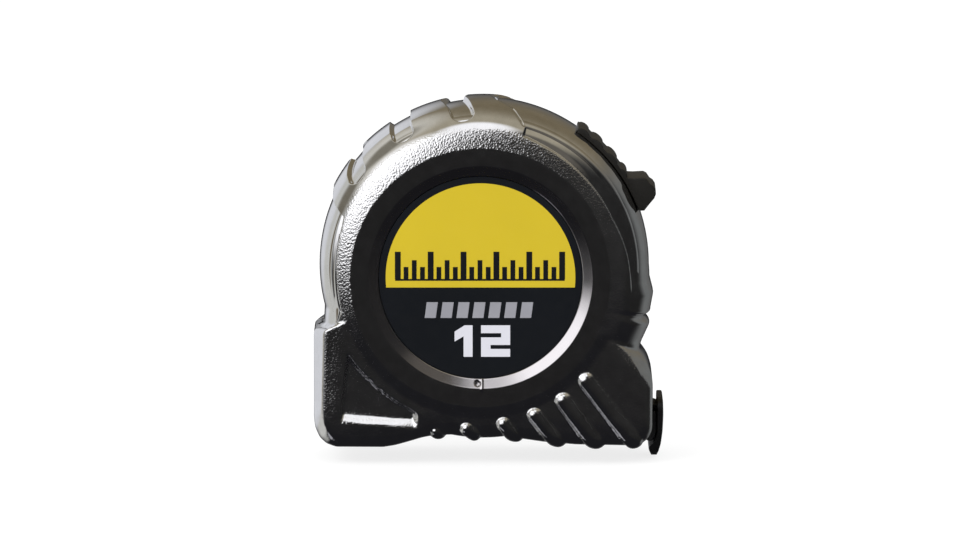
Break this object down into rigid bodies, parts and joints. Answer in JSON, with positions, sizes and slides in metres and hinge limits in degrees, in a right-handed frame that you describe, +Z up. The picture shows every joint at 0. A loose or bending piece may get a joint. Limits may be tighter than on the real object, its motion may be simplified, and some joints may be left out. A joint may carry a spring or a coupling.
{
  "type": "tape measure",
  "caption": "Pocket tape measure with a round-topped metallic case, printed face disc, ribbed thumb lock, black end hook and belt clip.",
  "frame": {"origin": "centre of the underside of the overall envelope, level with the hook's lower edge", "axes": "+X out of the blade mouth, +Z up from the flat base, -Y out of the printed near face, +Y towards the belt clip"},
  "size_m": [0.0662, 0.034, 0.0681],
  "materials": {
    "chrome_shell": "polished and fine-stippled bright plating on moulded plastic",
    "print_yellow": "glossy printed disc, yellow over black",
    "print_black": "satin black disc",
    "steel": "turned steel",
    "spring_steel": "blued spring steel",
    "reel_plastic": "moulded nylon",
    "washer": "white acetal",
    "blade": "enamelled steel, yellow with black ticks",
    "hook_steel": "black-coated steel",
    "black_plastic": "moulded black plastic",
    "bumper_rubber": "black rubber",
    "guide_plastic": "acetal",
    "bright_steel": "bright zinc-plated steel"
  },
  "bodies": {
    "case": {"case_near": "chrome_shell", "case_far": "chrome_shell", "label_near": "print_yellow", "label_far": "print_black", "spindle": "steel", "power_spring": "spring_steel", "blade_lead": "blade", "mouth_bumper": "bumper_rubber", "blade_guide": "guide_plastic", "case_screws": "bright_steel", "reel_washer_near": "washer", "reel_washer_far": "washer", "belt_clip": "bright_steel", "belt_clip_screw": "bright_steel"},
    "reel": {"reel_drum": "reel_plastic", "reel_cover": "reel_plastic", "blade_coil": "blade"},
    "blade": {"blade_out": "blade", "blade_end": "blade", "hook_rivets": "bright_steel"},
    "hook": {"end_hook": "hook_steel"},
    "lock": {"lock_button": "black_plastic", "lock_lever": "black_plastic", "brake_pad": "bumper_rubber"}
  },
  "joints": [
    {"name": "reel_spin", "type": "hinge", "parent": "case", "child": "reel", "pos_m": [-0.00155, -0.00305, 0.0354], "axis": [0, -1, 0], "range_deg": [0, 9720], "stiffness_Nm_per_rad": 0.0003, "springref_deg": -7448.45},
    {"name": "blade_pull", "type": "slide", "parent": "case", "child": "blade", "axis": [1, 0, 0], "range_m": [0, 3.6576], "deforming": ["blade_out"]},
    {"name": "hook_float", "type": "slide", "parent": "blade", "child": "hook", "axis": [1, 0, 0], "range_m": [0, 0.0009]},
    {"name": "lock_slide", "type": "hinge", "parent": "case", "child": "lock", "pos_m": [-0.00105, -0.00305, 0.0362], "axis": [0, 1, 0], "range_deg": [0, 10]}
  ],
  "couplings": [
    {"joint": "blade_pull", "follows": "reel_spin", "m_per_rad": 0.02156}
  ]
}
